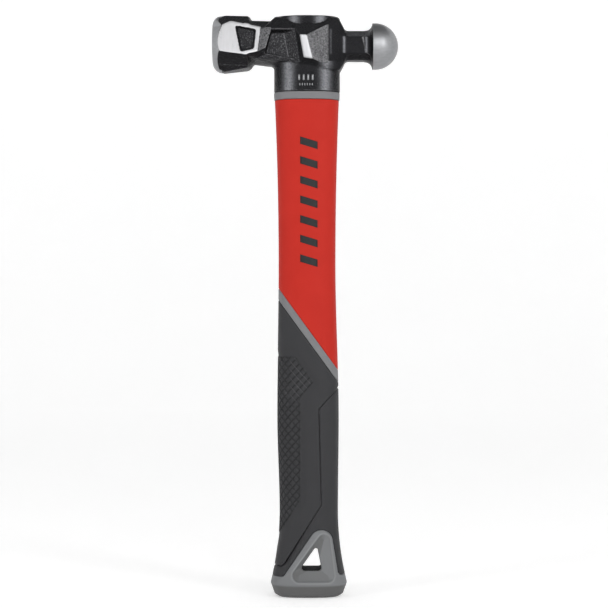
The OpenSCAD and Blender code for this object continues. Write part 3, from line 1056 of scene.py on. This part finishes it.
@once
def cap_grey():
    """Grey rubber with a finer texture in the dish and on the foot, which are painted darker as shade, and a
    painted highlight along the dish's rim.
    """
    n = Nodes("cap_grey")
    cloud = n.noise(80, 3)
    shade_and_rim_light = n.value_of("shade_and_rim_light")
    n.bump(n.math("MULTIPLY", n.noise(2200, 2), n.ramp(shade_and_rim_light, 0, 1, 0.6, 1.4)), 0.00008)
    skin = n.mix(cloud, tint(103, 104, 106), tint(110, 112, 113))
    # painted highlight along the dish's rim
    skin = n.mix(n.ramp(shade_and_rim_light, 0, -0.5), skin, tint(128, 129, 130))
    # painted shade in the dish and on the foot
    colour = n.mix(n.ramp(shade_and_rim_light, 0, 1), skin, tint(82, 82, 82))
    return n.set(Base_Color=colour, Roughness=n.ramp(cloud, 0, 1, 0.5, 0.62), Specular_IOR_Level=0.25)


@once
def soft_black():
    n = Nodes("soft_black")
    cloud = n.noise(70, 3)
    # painted shade: grooves and the panel's edge darkened almost to black
    groove = n.ramp(n.value_of("groove_shade_and_gleam"), 0, 1)
    # painted highlight: lighter on some diamond lines
    gleam = n.ramp(n.value_of("groove_shade_and_gleam"), 0, -0.45)
    skin = n.mix(gleam, n.mix(cloud, tint(38, 38, 40), tint(45, 45, 47)), tint(70, 70, 72))
    n.bump(n.noise(2600, 2), 0.00006)
    return n.set(Base_Color=n.mix(groove, skin, tint(8, 8, 9)), Roughness=n.ramp(cloud, 0, 1, 0.5, 0.64),
                 Specular_IOR_Level=0.25)


@once
def red_jacket():
    n = Nodes("red_jacket")
    cloud = n.noise(60, 4)
    colour = n.mix(cloud, tint(164, 31, 20), tint(175, 37, 26))
    n.bump(n.noise(1500, 3), 0.00009)
    dull = n.ramp(n.noise(1500, 2), 0, 1, 0.5, 0.7)
    return n.set(Base_Color=colour, Roughness=dull, Specular_IOR_Level=0.15)


@once
def print_black():
    n = Nodes("print_black")
    cloud = n.noise(120, 3)
    n.bump(n.noise(1500, 3), 0.00006)
    return n.set(Base_Color=n.mix(cloud, tint(24, 24, 25), tint(34, 34, 35)),
                 Roughness=n.ramp(cloud, 0, 1, 0.45, 0.6), Specular_IOR_Level=0.25)


@once
def bare_steel():
    n = Nodes("bare_steel")
    grain = n.noise(1500, 3)
    n.bump(grain, 0.00008)
    return n.set(Base_Color=n.mix(grain, tint(112, 113, 115), tint(146, 147, 149)), Metallic=0.95,
                 Roughness=n.ramp(grain, 0, 1, 0.38, 0.5))


@once
def hard_black():
    n = Nodes("hard_black")
    cloud = n.noise(90, 3)
    colour = n.mix(cloud, tint(24, 25, 27), tint(34, 35, 37))
    n.bump(n.noise(1400, 2), 0.00004)
    return n.set(Base_Color=colour, Roughness=n.ramp(cloud, 0, 1, 0.75, 0.9), Specular_IOR_Level=0.12)


@once
def resin():
    n = Nodes("resin")
    cloud = n.noise(250, 3)
    colour = n.mix(cloud, tint(30, 30, 32), tint(46, 46, 48))
    n.bump(n.noise(500, 3), 0.0002)
    return n.set(Base_Color=colour, Roughness=n.ramp(cloud, 0, 1, 0.2, 0.4))


@once
def fibreglass():
    n = Nodes("fibreglass")
    strands = n.noise(1200, 3, stretch=(1, 1, 0.05))
    colour = n.mix(strands, tint(206, 196, 150), tint(232, 226, 196))
    n.bump(strands, 0.0001)
    return n.set(Base_Color=colour, Roughness=n.ramp(strands, 0, 1, 0.35, 0.55))


def dress_cad(node, material):
    """Gives a CAD node that stays visible its material."""
    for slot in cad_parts[node].material_slots:
        slot.material = material


# ---------------------------------------------------------------- stage

VIEW_WIDTH, VIEW_DISTANCE = 394.4, 1226.5
CAMERA_X, CAMERA_Z = -1.93, 189.3


def build_camera():
    """Level camera at mid height, square on to the -Y cheek."""
    data = bpy.data.cameras.new("camera")
    data.sensor_width = 36
    data.lens = data.sensor_width * VIEW_DISTANCE / VIEW_WIDTH
    data.clip_start, data.clip_end = 0.01, 50
    camera = bpy.data.objects.new("camera", data)
    camera.location = (CAMERA_X * MM, -VIEW_DISTANCE * MM, CAMERA_Z * MM)
    camera.rotation_euler = (math.radians(90), 0, 0)
    bpy.context.collection.objects.link(camera)
    bpy.context.scene.camera = camera


def build_floor():
    """Pale floor that sweeps up into a backdrop all round."""
    n = Nodes("pale_floor")
    cloud = n.noise(3, 2)
    n.set(Base_Color=n.mix(cloud, tint(240, 240, 240), tint(243, 243, 243)), Roughness=0.9)
    n.set(Emission_Color=(1, 1, 1, 1), Emission_Strength=0.34)
    rings, sides = 40, 96
    flat_r, rise_r, top = 2.2, 1.6, 4.0
    profile = [(0.3 * flat_r, 0), (flat_r, 0)]
    profile += [(flat_r + rise_r * math.sin(t), rise_r * (1 - math.cos(t)))
                for t in np.linspace(0, math.pi / 2, rings)]
    profile += [(flat_r + rise_r, top)]
    points = [(0, 0, 0)] + [(r * math.cos(2 * math.pi * k / sides), r * math.sin(2 * math.pi * k / sides), z)
                            for r, z in profile for k in range(sides)]
    faces = [(0, 1 + k, 1 + (k + 1) % sides) for k in range(sides)]
    for row in range(len(profile) - 1):
        a = 1 + row * sides
        b = a + sides
        faces += [(a + k, b + k, b + (k + 1) % sides, a + (k + 1) % sides) for k in range(sides)]
    mesh = bpy.data.meshes.new("floor")
    mesh.from_pydata(points, [], faces)
    mesh.polygons.foreach_set("use_smooth", [True] * len(mesh.polygons))
    floor = bpy.data.objects.new("floor", mesh)
    bpy.context.collection.objects.link(floor)
    floor.data.materials.append(n.material)


def softbox(name, place, size, power):
    """Square soft light that looks at the hammer's middle."""
    data = bpy.data.lights.new(name, "AREA")
    data.shape = "RECTANGLE"
    data.size, data.size_y = size
    data.energy = power
    lamp = bpy.data.objects.new(name, data)
    lamp.location = place
    lamp.rotation_euler = (Vector((0, 0, 0.22)) - Vector(place)).to_track_quat("-Z", "Y").to_euler()
    bpy.context.collection.objects.link(lamp)


def build_light():
    world = bpy.data.worlds.new("studio")
    world.use_nodes = True
    sky = world.node_tree.nodes["Background"].inputs
    sky["Color"].default_value = (1, 1, 1, 1)
    sky["Strength"].default_value = 0.2
    scene = bpy.context.scene
    scene.world = world
    scene.view_settings.view_transform = "Standard"
    softbox("front", (0.3, -1.9, 0.8), (1.0, 0.9), 8.5)
    softbox("left", (-1.35, -1.2, 0.7), (0.3, 1.3), 6)
    softbox("right", (1.2, -1.35, 0.75), (0.4, 1.1), 8)


def main():
    build_camera()
    build_floor()
    build_light()
    build_head()
    build_neck_ring()
    build_upper_jacket()
    build_grip_stripe()
    build_grips()
    build_butt_cap()
    build_print()
    build_stamp()
    dress_cad("epoxy_joint", resin())
    dress_cad("fibreglass_core", fibreglass())
    dress_cad("inner_body", hard_black())


main()
